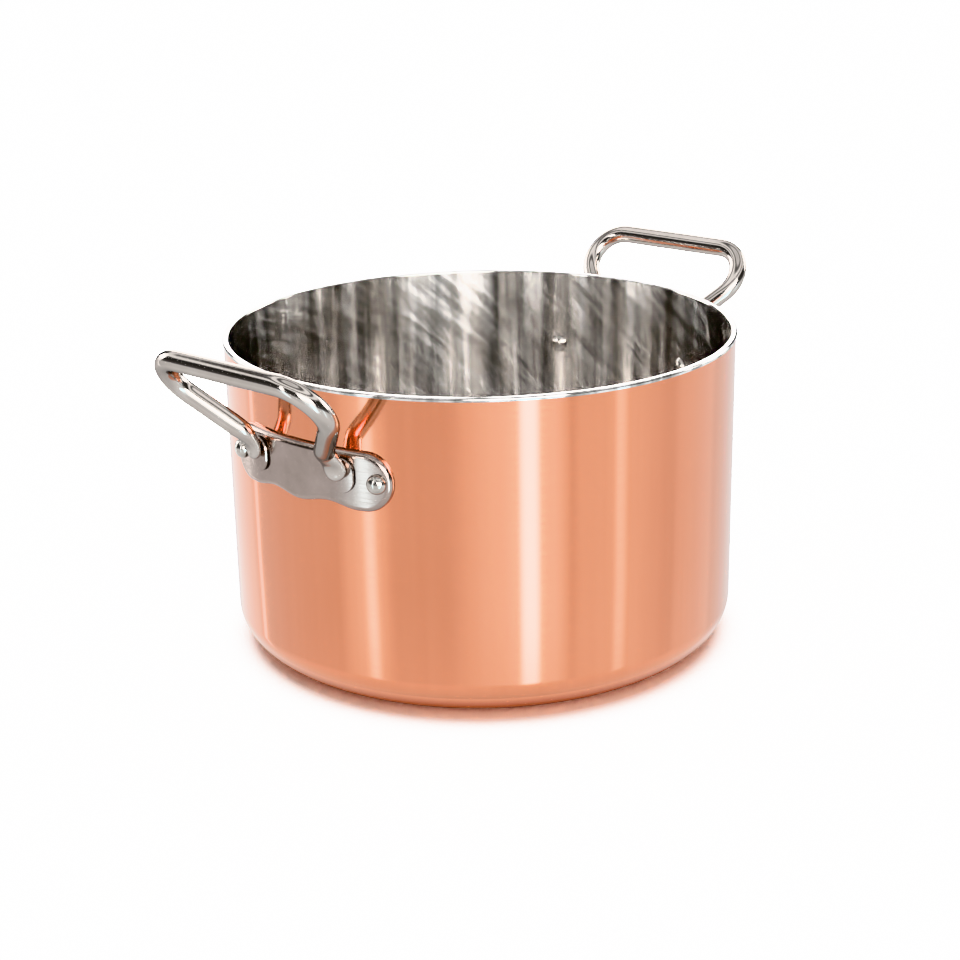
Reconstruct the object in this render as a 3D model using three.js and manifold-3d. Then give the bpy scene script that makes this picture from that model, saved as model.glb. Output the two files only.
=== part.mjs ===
// A round copper stew pot, tinned inside, with two riveted steel loop handles.
// Millimetres, +Z up. The origin is the middle of the underside, and the handles stand on +X and -X.
import * as THREE from "three";
import { mergeVertices } from "three/addons/utils/BufferGeometryUtils.js";
import Module from "manifold-3d";

// The pot.
const INNER_DIAMETER = 240; // across the tinned inside
const HEIGHT = 150; // from the table to the top of the rim
const COPPER = 2; // copper sheet
const TIN = 0.4; // tin lining
const BOTTOM_RADIUS = 18; // outside radius where the wall turns into the base
const LIP_DROP = 1.3; // how far the tin comes down outside the rim
const LIP_ROUND = 0.9; // rounding of the rim's two edges

// The plate that carries a handle, bent round the wall.
const PLATE_LENGTH = 96.5; // along the wall
const PLATE_HEIGHT = 27.2;
const PLATE_THICKNESS = 3;
const PLATE_DROP = 26; // from the top of the rim to the plate's top edge
const PLATE_WAVE = 2.4; // depth of the two hollows in the plate's lower edge
const PLATE_WAVE_LENGTH = 32; // along the wall, for one hollow
const PLATE_EDGE = 0.6; // broken outer edge of the plate

// The rivets, two in each plate.
const RIVET_INSET = 6.8; // from the plate's end to the middle of the rivet, along the wall
const RIVET_RAISE = 0.4; // above the middle of the plate
const RIVET_SHANK = 5; // diameter
const RIVET_HEAD = 9; // diameter of both heads
const RIVET_HEAD_OUTSIDE = 3.4; // height of the domed head on the plate
const RIVET_HEAD_INSIDE = 2.4; // height of the flatter head inside the pot

// The loop of a handle: a bent rod with two flattened feet.
const ROD = 9.4; // diameter of the legs
const GRIP = 9.6; // diameter in the middle of the grip
const LOOP_TILT = 51; // degrees above level
const LOOP_LENGTH = 48.5; // from the knees to the middle line of the grip
const LOOP_SPREAD = 127; // across the two corners of the loop, before they are rounded
const LOOP_CORNER = 16; // bend of the rod at each corner
const KNEE_SPREAD = 50; // across the two knees
const KNEE_STANDOFF = 7.1; // from the plate's face to the middle of the rod at the knee
const KNEE_RISE = 1.8; // of the knee above the plate's top edge
const KNEE_BEND = 6; // bend of the rod at the knee
const FOOT_BEND = 5; // bend of the rod where the foot meets the pad
const FOOT_SPREAD = 52; // across the ends of the two feet
const FOOT_TOP_SPREAD = 50.5; // across the feet where they leave the pads
const FOOT_TOP_DROP = 6; // from the plate's top edge to where the foot leaves the pad
const FOOT_LENGTH = 6.6; // of the flattened foot, in height
const FOOT_WIDTH = 11;
const FOOT_THICKNESS = 4;

// The raised pad under each foot.
const PAD_WIDTH = 13.2;
const PAD_HEIGHT = 16;
const PAD_THICKNESS = 1.2;
const PAD_EDGE = 0.35; // broken outer edge of the pad
const PAD_BELOW_FOOT = 6.4; // how far the pad shows below the end of the foot

// Clearances.
const FIT = 0.3; // between pieces that rest on each other, and round a rivet's shank
const TIN_FIT = 0.1; // between the tin and the copper

// Facets.
const ROUND = 60; // sides of the pot
const BEND_STEPS = 6; // facets in the pot's bottom corner
const ROD_SIDES = 12;

const wasm = await Module();
wasm.setup();

// What follows from the sizes above.
const innerRadius = INNER_DIAMETER / 2;
const copperInner = innerRadius + TIN + TIN_FIT;
const copperOuter = copperInner + COPPER;
const floor = COPPER + TIN_FIT + TIN;
const plateInner = copperOuter + FIT;
const plateOuter = plateInner + PLATE_THICKNESS;
const plateTop = HEIGHT - PLATE_DROP;
const plateMiddle = plateTop - PLATE_HEIGHT / 2;
const rivetHeight = plateMiddle + RIVET_RAISE;
const rivetAngle = (PLATE_LENGTH / 2 - RIVET_INSET) / plateInner;
const padInner = plateOuter + FIT;
const padOuter = padInner + PAD_THICKNESS;
const footRadius = padOuter + FIT + FOOT_THICKNESS / 2;
const footTop = plateTop - FOOT_TOP_DROP;
const footEnd = footTop - FOOT_LENGTH;

// The closed solid of a geometry, without the slivers that a turned profile leaves on its axis.
function solid(geometry) {
  const flat = geometry.index ? geometry.toNonIndexed() : geometry;
  const bare = new THREE.BufferGeometry().setAttribute("position", flat.getAttribute("position"));
  const merged = mergeVertices(bare, 1e-4);
  const corners = merged.index.array;
  const kept = [];
  for (let i = 0; i < corners.length; i += 3) {
    const [a, b, c] = [corners[i], corners[i + 1], corners[i + 2]];
    if (a !== b && b !== c && c !== a) kept.push(a, b, c);
  }
  return new wasm.Manifold(
    new wasm.Mesh({
      numProp: 3,
      vertProperties: merged.getAttribute("position").array,
      triVerts: new Uint32Array(kept),
    }),
  );
}

function named(name, body, material) {
  const made = body.getMesh();
  const geometry = new THREE.BufferGeometry();
  geometry.setAttribute("position", new THREE.BufferAttribute(made.vertProperties, 3));
  geometry.setIndex(new THREE.BufferAttribute(made.triVerts, 1));
  geometry.computeVertexNormals();
  const mesh = new THREE.Mesh(geometry, material);
  mesh.name = name;
  return mesh;
}

// A profile of [radius, height] points turned round the Z axis.
function turned(profile, sides) {
  const points = profile.map(([r, z]) => new THREE.Vector2(r, z));
  return new THREE.LatheGeometry(points, sides).rotateX(Math.PI / 2);
}

// Points on a quarter circle from its lowest point outwards and up, about [centreR, centreZ].
function quarter(centreR, centreZ, radius, steps) {
  const points = [];
  for (let i = 0; i <= steps; i++) {
    const a = (i / steps) * (Math.PI / 2);
    points.push([centreR + radius * Math.sin(a), centreZ - radius * Math.cos(a)]);
  }
  return points;
}

// A cylinder along +X between two distances from the axis, turned to an angle round Z at a height.
function radialPin(radius, from, to, angle, height) {
  return new THREE.CylinderGeometry(radius, radius, to - from, 20)
    .rotateZ(-Math.PI / 2)
    .translate((from + to) / 2, 0, 0)
    .rotateZ(angle)
    .translate(0, 0, height);
}

const rivetPlaces = [0, Math.PI].flatMap((side) => [side - rivetAngle, side + rivetAngle]);

function drilled(body) {
  const from = innerRadius - 5;
  const to = plateOuter + 5;
  return rivetPlaces.reduce(
    (left, angle) => left.subtract(solid(radialPin(RIVET_SHANK / 2 + FIT, from, to, angle, rivetHeight))),
    body,
  );
}

// The copper body: a flat base, a rounded corner and a straight wall, in one sheet.
function copperBody() {
  const top = HEIGHT - TIN - TIN_FIT;
  const centre = copperOuter - BOTTOM_RADIUS;
  const outside = quarter(centre, BOTTOM_RADIUS, BOTTOM_RADIUS, BEND_STEPS);
  const inside = quarter(centre, BOTTOM_RADIUS, BOTTOM_RADIUS - COPPER, BEND_STEPS).reverse();
  const profile = [[0, 0], ...outside, [copperOuter, top], [copperInner, top], ...inside, [0, COPPER]];
  return drilled(solid(turned(profile, ROUND)));
}

// The tin lining: a thin skin over the whole inside that rolls over the rim.
function tinLining() {
  const centre = copperOuter - BOTTOM_RADIUS;
  const outerBend = BOTTOM_RADIUS - COPPER - TIN_FIT;
  const copperTop = HEIGHT - TIN - TIN_FIT;
  const lipInner = copperOuter + TIN_FIT;
  const lipOuter = lipInner + TIN;
  const under = quarter(centre, BOTTOM_RADIUS, outerBend, BEND_STEPS);
  const over = quarter(centre, BOTTOM_RADIUS, outerBend - TIN, BEND_STEPS).reverse();
  const profile = [
    [0, COPPER + TIN_FIT],
    ...under,
    [copperInner - TIN_FIT, HEIGHT - TIN],
    [lipInner, HEIGHT - TIN],
    [lipInner, copperTop - LIP_DROP],
    [lipOuter, copperTop - LIP_DROP],
    [lipOuter, HEIGHT - TIN * 0.75],
    [lipOuter - LIP_ROUND * 0.3, HEIGHT - TIN * 0.25],
    [lipOuter - LIP_ROUND, HEIGHT],
    [innerRadius + LIP_ROUND, HEIGHT],
    [innerRadius + LIP_ROUND * 0.3, HEIGHT - TIN * 0.25],
    [innerRadius, HEIGHT - TIN * 0.75],
    ...over,
    [0, floor],
  ];
  return drilled(solid(turned(profile, ROUND)));
}

// A slab bent round the Z axis, facing +X: its outline is given along the wall, from a lower to an upper edge.
// The outer face is drawn in by the broken edge.
function bentSlab({ columns, lower, upper, from, to, edge, angle, height }) {
  const half = columns[columns.length - 1];
  const box = new THREE.BoxGeometry(1, 1, 1, columns.length - 1, 2, 2);
  const at = box.getAttribute("position");
  for (let i = 0; i < at.count; i++) {
    const u = columns[Math.round((at.getX(i) + 0.5) * (columns.length - 1))];
    const v = at.getY(i) + 0.5;
    const layer = Math.round((at.getZ(i) + 0.5) * 2);
    const inset = layer === 2 ? edge : 0;
    const radius = layer === 0 ? from : layer === 1 ? to - edge : to;
    const z = lower(u) + inset + (upper(u) - lower(u) - 2 * inset) * v;
    const turn = (u * (1 - inset / half)) / from;
    at.setXYZ(i, radius * Math.cos(turn), radius * Math.sin(turn), z);
  }
  return box.rotateZ(angle).translate(0, 0, height);
}

// Columns from one end of an outline to the other, closer together over its round ends.
function roundEndColumns(half, radius, blunt, endSteps, middleSteps) {
  const columns = [];
  const start = Math.asin(blunt / radius);
  for (let i = 0; i <= endSteps; i++) {
    const a = start + (i / endSteps) * (Math.PI / 2 - start);
    columns.push(half - radius + radius * Math.cos(a));
  }
  for (let i = 1; i <= middleSteps / 2; i++) columns.push((half - radius) * (1 - (2 * i) / middleSteps));
  const right = columns.slice(0, -1);
  return [...right.map((u) => -u), 0, ...right.reverse()];
}

// The plate: straight along the top, with round ends, and a lower edge that swells under the middle and the rivets.
function plate() {
  const half = PLATE_LENGTH / 2;
  const end = PLATE_HEIGHT / 2;
  const rise = (u) => {
    const past = Math.abs(u) - (half - end);
    return past > 0 ? Math.sqrt(Math.max(end * end - past * past, 0)) : end;
  };
  const wave = (u) =>
    Math.abs(u) < PLATE_WAVE_LENGTH ? PLATE_WAVE * Math.sin((Math.PI * u) / PLATE_WAVE_LENGTH) ** 2 : 0;
  return drilledPlate(
    solid(
      bentSlab({
        columns: roundEndColumns(half, end, 2, 6, 20),
        lower: (u) => -rise(u) + wave(u),
        upper: rise,
        from: plateInner,
        to: plateOuter,
        edge: PLATE_EDGE,
        angle: 0,
        height: plateMiddle,
      }),
    ),
  );
}

function drilledPlate(body) {
  return [-rivetAngle, rivetAngle].reduce(
    (left, angle) =>
      left.subtract(
        solid(radialPin(RIVET_SHANK / 2 + FIT, plateInner - 5, plateOuter + 5, angle, rivetHeight)),
      ),
    body,
  );
}

// The pad that a foot is welded to: a low upright oval on the face of the plate.
function pad(side) {
  const half = PAD_WIDTH / 2;
  const straight = PAD_HEIGHT / 2 - half;
  const rise = (u) => straight + Math.sqrt(Math.max(half * half - u * u, 0));
  const middle = footEnd - PAD_BELOW_FOOT + PAD_HEIGHT / 2;
  const spread = (FOOT_SPREAD + FOOT_TOP_SPREAD) / 4;
  return solid(
    bentSlab({
      columns: roundEndColumns(half, half, half * 0.12, 5, 0),
      lower: (u) => -rise(u),
      upper: rise,
      from: padInner,
      to: padOuter,
      edge: PAD_EDGE,
      angle: side * Math.asin(spread / padOuter),
      height: middle,
    }),
  );
}

// A rivet along +X: a shank through plate, copper and tin, with a domed head at each end.
function rivet() {
  const head = RIVET_HEAD / 2;
  const shank = RIVET_SHANK / 2;
  const inside = Math.sqrt(innerRadius * innerRadius - head * head) - FIT;
  const outside = plateOuter + FIT;
  const dome = (height, steps) => {
    const points = [];
    for (let i = 0; i <= steps; i++) {
      const a = (i / steps) * (Math.PI / 2);
      points.push([head * Math.cos(a), height * Math.sin(a)]);
    }
    return points;
  };
  const profile = [
    ...dome(RIVET_HEAD_INSIDE, 4).map(([r, s]) => [r, inside - s]).reverse(),
    [shank, inside],
    [shank, outside],
    ...dome(RIVET_HEAD_OUTSIDE, 5).map(([r, s]) => [r, outside + s]),
  ];
  profile[0][0] = 0;
  profile[profile.length - 1][0] = 0;
  return solid(turned(profile, 16).rotateY(Math.PI / 2));
}

// The middle line of one half of the loop, from the end of a foot to the middle of the grip,
// as [distance from the axis, distance to the side, height], with the bends rounded.
function halfLoop(side) {
  const onWall = (spread, z) =>
    new THREE.Vector3(Math.sqrt(footRadius ** 2 - (spread / 2) ** 2), (side * spread) / 2, z);
  const tilt = THREE.MathUtils.degToRad(LOOP_TILT);
  const kneeOut = plateOuter + KNEE_STANDOFF;
  const kneeUp = plateTop + KNEE_RISE;
  const gripOut = kneeOut + LOOP_LENGTH * Math.cos(tilt);
  const gripUp = kneeUp + LOOP_LENGTH * Math.sin(tilt);
  const corners = [
    onWall(FOOT_SPREAD, footEnd),
    onWall(FOOT_TOP_SPREAD, footTop),
    new THREE.Vector3(kneeOut, (side * KNEE_SPREAD) / 2, kneeUp),
    new THREE.Vector3(gripOut, (side * LOOP_SPREAD) / 2, gripUp),
    new THREE.Vector3(gripOut, 0, gripUp),
  ];
  const bends = [FOOT_BEND, KNEE_BEND, LOOP_CORNER];
  const steps = [3, 5, 9];
  const path = [];
  const foot = corners[1].clone().sub(corners[0]);
  for (const along of [0, 0.05, 0.16, 0.34, 0.56]) path.push(corners[0].clone().addScaledVector(foot, along));
  let knee = 0;
  for (let i = 1; i <= 3; i++) {
    const back = corners[i - 1].clone().sub(corners[i]).normalize();
    const on = corners[i + 1].clone().sub(corners[i]).normalize();
    const open = back.angleTo(on) / 2;
    const centre = corners[i].clone().addScaledVector(back.clone().add(on).normalize(), bends[i - 1] / Math.sin(open));
    const first = corners[i].clone().addScaledVector(back, bends[i - 1] / Math.tan(open)).sub(centre);
    const last = corners[i].clone().addScaledVector(on, bends[i - 1] / Math.tan(open)).sub(centre);
    const sweep = first.angleTo(last);
    if (i === 3) {
      const leg = centre.clone().add(first).sub(path[path.length - 1]);
      const foot = path[path.length - 1].clone();
      for (const along of [0.33, 0.67]) path.push(foot.clone().addScaledVector(leg, along));
    }
    for (let k = 0; k <= steps[i - 1]; k++) {
      const a = (k / steps[i - 1]) * sweep;
      path.push(
        centre
          .clone()
          .addScaledVector(first, Math.sin(sweep - a) / Math.sin(sweep))
          .addScaledVector(last, Math.sin(a) / Math.sin(sweep)),
      );
    }
    if (i === 2) knee = path.length;
  }
  const straight = corners[4].clone().sub(path[path.length - 1]);
  const bendEnd = path[path.length - 1].clone();
  for (const along of [0.35, 0.7, 1]) path.push(bendEnd.clone().addScaledVector(straight, along));
  return { path, knee };
}

// The loop: a round rod, thicker along the grip, whose two ends are flattened and rounded into feet.
function loop() {
  const right = halfLoop(1);
  const left = halfLoop(-1);
  const path = [...right.path, ...left.path.slice(0, -1).reverse()];
  const last = path.length - 1;
  const tilt = THREE.MathUtils.degToRad(LOOP_TILT);
  const acrossLoop = new THREE.Vector3(Math.sin(tilt), 0, -Math.cos(tilt));
  const lengths = [0];
  for (let i = 1; i <= last; i++) lengths.push(lengths[i - 1] + path[i].distanceTo(path[i - 1]));
  const total = lengths[last];
  const kneeAt = lengths[right.knee];
  const footAt = path[0].distanceTo(path[4]);
  const smooth = (x) => {
    const t = Math.min(Math.max(x, 0), 1);
    return t * t * (3 - 2 * t);
  };
  const rings = path.map((point, i) => {
    const before = path[Math.max(i - 1, 0)];
    const after = path[Math.min(i + 1, last)];
    const along = after.clone().sub(before).normalize();
    const fromEnd = Math.min(lengths[i], total - lengths[i]);
    const round = smooth((fromEnd - footAt) / (kneeAt - footAt));
    const outward = new THREE.Vector3(point.x, point.y, 0).normalize();
    const flat = outward.lerp(acrossLoop, round);
    flat.addScaledVector(along, -flat.dot(along)).normalize();
    const wide = new THREE.Vector3().crossVectors(flat, along);
    const grip = smooth((fromEnd / (total / 2) - 0.62) / 0.38);
    const rod = (ROD + (GRIP - ROD) * grip) / 2;
    const tip = Math.min(fromEnd / (FOOT_WIDTH / 2), 1);
    const tongue = (FOOT_WIDTH / 2) * Math.sqrt(Math.max(1 - (1 - tip) ** 2, 0.12));
    const thick = THREE.MathUtils.lerp(FOOT_THICKNESS / 2, rod, round);
    const broad = THREE.MathUtils.lerp(tongue, rod, round);
    const thin = i === 0 || i === last ? thick * 0.6 : thick;
    return { point, flat, wide, thick: thin, broad };
  });
  const rod = new THREE.CylinderGeometry(1, 1, 1, ROD_SIDES, last, false);
  const at = rod.getAttribute("position");
  for (let i = 0; i < at.count; i++) {
    const ring = rings[Math.round((at.getY(i) + 0.5) * last)];
    const moved = ring.point
      .clone()
      .addScaledVector(ring.flat, at.getX(i) * ring.thick)
      .addScaledVector(ring.wide, at.getZ(i) * ring.broad);
    at.setXYZ(i, moved.x, moved.y, moved.z);
  }
  return solid(rod);
}

const copper = new THREE.MeshStandardMaterial({ color: 0xcd7d54, roughness: 0.32, metalness: 1 });
const tin = new THREE.MeshStandardMaterial({ color: 0xc4c1bc, roughness: 0.18, metalness: 1 });
const steel = new THREE.MeshStandardMaterial({ color: 0xc9c7c3, roughness: 0.14, metalness: 1 });
const plateSteel = new THREE.MeshStandardMaterial({ color: 0xb8b4ae, roughness: 0.22, metalness: 1 });
const rivetSteel = new THREE.MeshStandardMaterial({ color: 0xbfbcb7, roughness: 0.16, metalness: 1 });

const pot = new THREE.Group();
pot.add(named("copper_body", copperBody(), copper));
pot.add(named("tin_lining", tinLining(), tin));

// Each handle is made facing +X and turned to its side of the pot.
for (const [side, turn] of [
  ["right", 0],
  ["left", Math.PI],
]) {
  const handle = new THREE.Group();
  handle.rotation.z = turn;
  handle.add(named(`${side}_handle_plate`, plate(), plateSteel));
  handle.add(named(`${side}_handle_loop`, loop(), steel));
  handle.add(named(`${side}_foot_pad_a`, pad(-1), plateSteel));
  handle.add(named(`${side}_foot_pad_b`, pad(1), plateSteel));
  for (const [mark, angle] of [
    ["a", -rivetAngle],
    ["b", rivetAngle],
  ]) {
    const made = named(`${side}_rivet_${mark}`, rivet(), rivetSteel);
    made.rotation.z = angle;
    made.position.z = rivetHeight;
    handle.add(made);
  }
  pot.add(handle);
}

export default pot;
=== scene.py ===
# A round copper stew pot, tinned inside, with two riveted steel loop handles.
# Sizes are in millimetres unless a line says otherwise. +Z is up and the handles stand on +X and -X.
import math

import bmesh
import bpy
from mathutils import Matrix, Vector


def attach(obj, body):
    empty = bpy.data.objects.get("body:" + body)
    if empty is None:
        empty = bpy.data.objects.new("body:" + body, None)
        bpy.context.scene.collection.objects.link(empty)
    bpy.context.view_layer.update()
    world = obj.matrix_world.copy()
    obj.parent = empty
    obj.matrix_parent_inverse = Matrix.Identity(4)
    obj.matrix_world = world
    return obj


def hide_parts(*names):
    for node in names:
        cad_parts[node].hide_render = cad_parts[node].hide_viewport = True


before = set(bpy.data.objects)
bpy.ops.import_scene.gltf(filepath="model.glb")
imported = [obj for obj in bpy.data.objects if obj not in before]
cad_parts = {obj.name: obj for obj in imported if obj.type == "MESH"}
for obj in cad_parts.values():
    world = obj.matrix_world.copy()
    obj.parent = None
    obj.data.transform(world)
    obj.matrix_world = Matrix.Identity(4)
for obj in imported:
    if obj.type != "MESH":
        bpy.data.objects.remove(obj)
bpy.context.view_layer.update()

# Copper body
# One disc of 2 mm sheet copper, spun on a lathe to a flat base, a rounded corner and a straight wall.
# It was polished while it turned, so its finest marks run round the wall and draw each light out upright.
MM = 0.001
POT_SIDES = 288
SHEET = 2.0
BODY_RADIUS = 122.5
BODY_TOP = 149.5
CORNER = 18.0
CORNER_STEPS = 14
CORNER_CENTRE = BODY_RADIUS - CORNER
COPPER_EDGE = 0.3
BASE_RINGS = (14, 60, 98)
WALL_RINGS = (60, 105)
CREASE = math.radians(40)


def arc(centre, height, radius, start, end, steps):
    """Points of a bend in an outline: its centre, out from the axis and up, radius and angles in degrees."""
    points = []
    for step in range(steps + 1):
        angle = math.radians(start + (end - start) * step / steps)
        points.append((centre + radius * math.cos(angle), height + radius * math.sin(angle)))
    return points


def name_piece(name):
    """Names the primitive or copy that was just made, and its mesh."""
    piece = bpy.context.object
    piece.name = name
    piece.data.name = name
    return piece


def turn_outline(name, outline, sides):
    """A turned piece: a small disc, drawn out ring by ring along an outline of (radius, height)."""
    bpy.ops.object.select_all(action="DESELECT")
    radius, height = outline[0]
    bpy.ops.mesh.primitive_circle_add(
        vertices=sides, radius=radius * MM, fill_type="NGON", location=(0, 0, height * MM)
    )
    piece = name_piece(name)
    bpy.ops.object.transform_apply(location=True, rotation=True, scale=True)
    bpy.ops.object.mode_set(mode="EDIT")
    bpy.ops.mesh.select_mode(type="EDGE")
    bpy.ops.mesh.select_all(action="SELECT")
    for next_radius, next_height in outline[1:]:
        bpy.ops.mesh.extrude_edges_move(
            TRANSFORM_OT_translate={"value": (0, 0, (next_height - height) * MM)}
        )
        grow = next_radius / radius
        bpy.ops.transform.resize(value=(grow, grow, 1), center_override=(0, 0, 0))
        radius, height = next_radius, next_height
    bpy.ops.mesh.edge_face_add()
    bpy.ops.mesh.select_all(action="SELECT")
    bpy.ops.mesh.normals_make_consistent(inside=False)
    bpy.ops.object.mode_set(mode="OBJECT")
    bpy.ops.object.shade_smooth_by_angle(angle=CREASE)
    return piece


def linear(colour):
    """A hex colour as it looks on a screen, turned to the linear values that a shader takes."""
    values = []
    for place in (1, 3, 5):
        value = int(colour[place:place + 2], 16) / 255
        values.append(value / 12.92 if value <= 0.04045 else ((value + 0.055) / 1.055) ** 2.4)
    return (*values, 1.0)


def add_node(tree, kind, values=None, links=None, **settings):
    """Adds a node with its settings, the values of its inputs and the links into them."""
    node = tree.nodes.new(kind)
    for setting, value in settings.items():
        setattr(node, setting, value)
    for socket, value in (values or {}).items():
        node.inputs[socket].default_value = value
    for socket, source in (links or {}).items():
        tree.links.new(source, node.inputs[socket])
    return node


def new_material(name):
    """An empty material: its node tree and the shader that its patterns are linked to."""
    material = bpy.data.materials.new(name)
    material.use_nodes = True
    tree = material.node_tree
    return material, tree, tree.nodes["Principled BSDF"]


copper_outline = [
    *((radius, 0) for radius in BASE_RINGS),
    *arc(CORNER_CENTRE, CORNER, CORNER, -90, 0, CORNER_STEPS),
    *((BODY_RADIUS, height) for height in WALL_RINGS),
    (BODY_RADIUS, BODY_TOP - COPPER_EDGE),
    (BODY_RADIUS - COPPER_EDGE, BODY_TOP),
    (BODY_RADIUS - SHEET + COPPER_EDGE, BODY_TOP),
    (BODY_RADIUS - SHEET, BODY_TOP - COPPER_EDGE),
    *arc(CORNER_CENTRE, CORNER, CORNER - SHEET, 0, -90, CORNER_STEPS),
    *((radius, SHEET) for radius in reversed(BASE_RINGS)),
]
body = turn_outline("pot_body", copper_outline, POT_SIDES)

# Polished copper: warm orange, a shade deeper in clouds about 55 mm across and in upright smears 7 mm apart,
# and pale where it is seen edge on, under a clear lacquer. Marks left by the polishing mop run round it about
# 0.1 mm apart. They are drawn 1.5 mm apart here so that they show, and only as a change of gloss. The sheet
# stays wavy by a few hundredths of a millimetre over about 45 mm, which makes the streaks waver.
copper, nodes, shader = new_material("polished_copper")
shader.inputs["Metallic"].default_value = 1.0
shader.inputs["Anisotropic"].default_value = 0.5
shader.inputs["Anisotropic Rotation"].default_value = 0.25
shader.inputs["Coat Weight"].default_value = 1.0
shader.inputs["Coat Roughness"].default_value = 0.05
shader.inputs["Coat IOR"].default_value = 1.75
place = add_node(nodes, "ShaderNodeTexCoord")
around = add_node(nodes, "ShaderNodeTangent", direction_type="RADIAL", axis="Z")
nodes.links.new(around.outputs["Tangent"], shader.inputs["Tangent"])
clouds = add_node(
    nodes,
    "ShaderNodeTexNoise",
    {"Scale": 1 / (55 * MM), "Detail": 3.0, "Roughness": 0.55},
    {"Vector": place.outputs["Object"]},
)
smear_place = add_node(
    nodes,
    "ShaderNodeMapping",
    {"Scale": (1 / (7 * MM), 1 / (7 * MM), 1 / (260 * MM))},
    {"Vector": place.outputs["Object"]},
)
smears = add_node(
    nodes,
    "ShaderNodeTexNoise",
    {"Scale": 1.0, "Detail": 3.0, "Roughness": 0.6},
    {"Vector": smear_place.outputs["Vector"]},
)
mottle = add_node(
    nodes,
    "ShaderNodeMix",
    {"Factor": 0.55},
    {"A": clouds.outputs["Fac"], "B": smears.outputs["Fac"]},
)
tint = add_node(
    nodes,
    "ShaderNodeMix",
    {"A": linear("#F6A076"), "B": linear("#E98E60")},
    {"Factor": mottle.outputs["Result"]},
    data_type="RGBA",
)
nodes.links.new(tint.outputs["Result"], shader.inputs["Base Color"])
flat_marks = add_node(
    nodes,
    "ShaderNodeMapping",
    {"Scale": (1 / (90 * MM), 1 / (90 * MM), 1 / (1.5 * MM))},
    {"Vector": place.outputs["Object"]},
)
marks = add_node(
    nodes,
    "ShaderNodeTexNoise",
    {"Scale": 1.0, "Detail": 2.0, "Roughness": 0.6},
    {"Vector": flat_marks.outputs["Vector"]},
)
gloss = add_node(
    nodes,
    "ShaderNodeMapRange",
    {"From Min": 0.25, "From Max": 0.75, "To Min": 0.1, "To Max": 0.15},
    {"Value": marks.outputs["Fac"]},
)
nodes.links.new(gloss.outputs["Result"], shader.inputs["Roughness"])
waves = add_node(
    nodes,
    "ShaderNodeTexNoise",
    {"Scale": 1 / (45 * MM), "Detail": 1.0, "Roughness": 0.4},
    {"Vector": place.outputs["Object"]},
)
bump = add_node(
    nodes,
    "ShaderNodeBump",
    {"Strength": 1.0, "Distance": 0.05 * MM},
    {"Height": waves.outputs["Fac"]},
)
nodes.links.new(bump.outputs["Normal"], shader.inputs["Normal"])

body.data.materials.append(copper)
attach(body, "root")
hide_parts("copper_body")

# Tin lining
# A skin of tin wiped hot over the whole inside, which rolls over the rim and ends in a bright lip outside.
# It was spread by hand with a wad, so it has upright and slanting wipe marks and a wavy, uneven mirror.
TIN = 0.4
TIN_GAP = 0.1
RIM_TOP = 150.0
RIM_ROUND = 0.9
RIM_STEPS = 6
LIP_END = 148.2
LIP_EDGE = 0.1
TIN_OUTSIDE = BODY_RADIUS - SHEET - TIN_GAP
TIN_INSIDE = TIN_OUTSIDE - TIN
LIP_INSIDE = BODY_RADIUS + TIN_GAP
LIP_OUTSIDE = LIP_INSIDE + TIN
TIN_FLOOR = SHEET + TIN_GAP

tin_outline = [
    *((radius, TIN_FLOOR) for radius in BASE_RINGS),
    *arc(CORNER_CENTRE, CORNER, CORNER - TIN_FLOOR, -90, 0, CORNER_STEPS),
    (TIN_OUTSIDE, RIM_TOP - TIN),
    (LIP_INSIDE, RIM_TOP - TIN),
    (LIP_INSIDE, LIP_END),
    (LIP_OUTSIDE - LIP_EDGE, LIP_END),
    (LIP_OUTSIDE, LIP_END + LIP_EDGE),
    *arc(LIP_OUTSIDE - RIM_ROUND, RIM_TOP - RIM_ROUND, RIM_ROUND, 0, 90, RIM_STEPS),
    *arc(TIN_INSIDE + RIM_ROUND, RIM_TOP - RIM_ROUND, RIM_ROUND, 90, 180, RIM_STEPS),
    *((TIN_INSIDE, height) for height in reversed(WALL_RINGS)),
    *arc(CORNER_CENTRE, CORNER, CORNER - TIN_FLOOR - TIN, 0, -90, CORNER_STEPS),
    *((radius, TIN_FLOOR + TIN) for radius in reversed(BASE_RINGS)),
]
lining = turn_outline("pot_lining", tin_outline, POT_SIDES)

# Wiped tin: a silver mirror. The sheet under it was spun, so fine marks run round it and draw each light out
# into an upright streak. The wipes stand about 9 mm apart and run up the wall, and slanting ones 4 mm apart
# cross them. On the floor they go round in arcs 7 mm apart, each about a fourteenth of a turn long. All leave
# paler and greyer tin, which breaks the streaks up. The strong change from grey to near white is also a
# painted
# reflection: it lays dark and bright streaks into the colour, in place of mirrored ones.
tin, nodes, shader = new_material("wiped_tin_painted_streaks")
shader.inputs["Metallic"].default_value = 1.0
shader.inputs["Anisotropic"].default_value = 1.0
shader.inputs["Anisotropic Rotation"].default_value = 0.25
place = add_node(nodes, "ShaderNodeTexCoord")
around = add_node(nodes, "ShaderNodeTangent", direction_type="RADIAL", axis="Z")
nodes.links.new(around.outputs["Tangent"], shader.inputs["Tangent"])
upright = add_node(
    nodes,
    "ShaderNodeMapping",
    {"Scale": (1 / (9 * MM), 1 / (9 * MM), 1 / (160 * MM))},
    {"Vector": place.outputs["Object"]},
)
wipes = add_node(
    nodes,
    "ShaderNodeTexNoise",
    {"Scale": 1.0, "Detail": 3.0, "Roughness": 0.55, "Distortion": 0.3},
    {"Vector": upright.outputs["Vector"]},
)
slanting = add_node(
    nodes,
    "ShaderNodeMapping",
    {"Rotation": (0.6, 0.5, 0), "Scale": (30 * MM, 30 * MM, 4 * MM)},
    {"Vector": place.outputs["Object"]},
    vector_type="TEXTURE",
)
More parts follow.
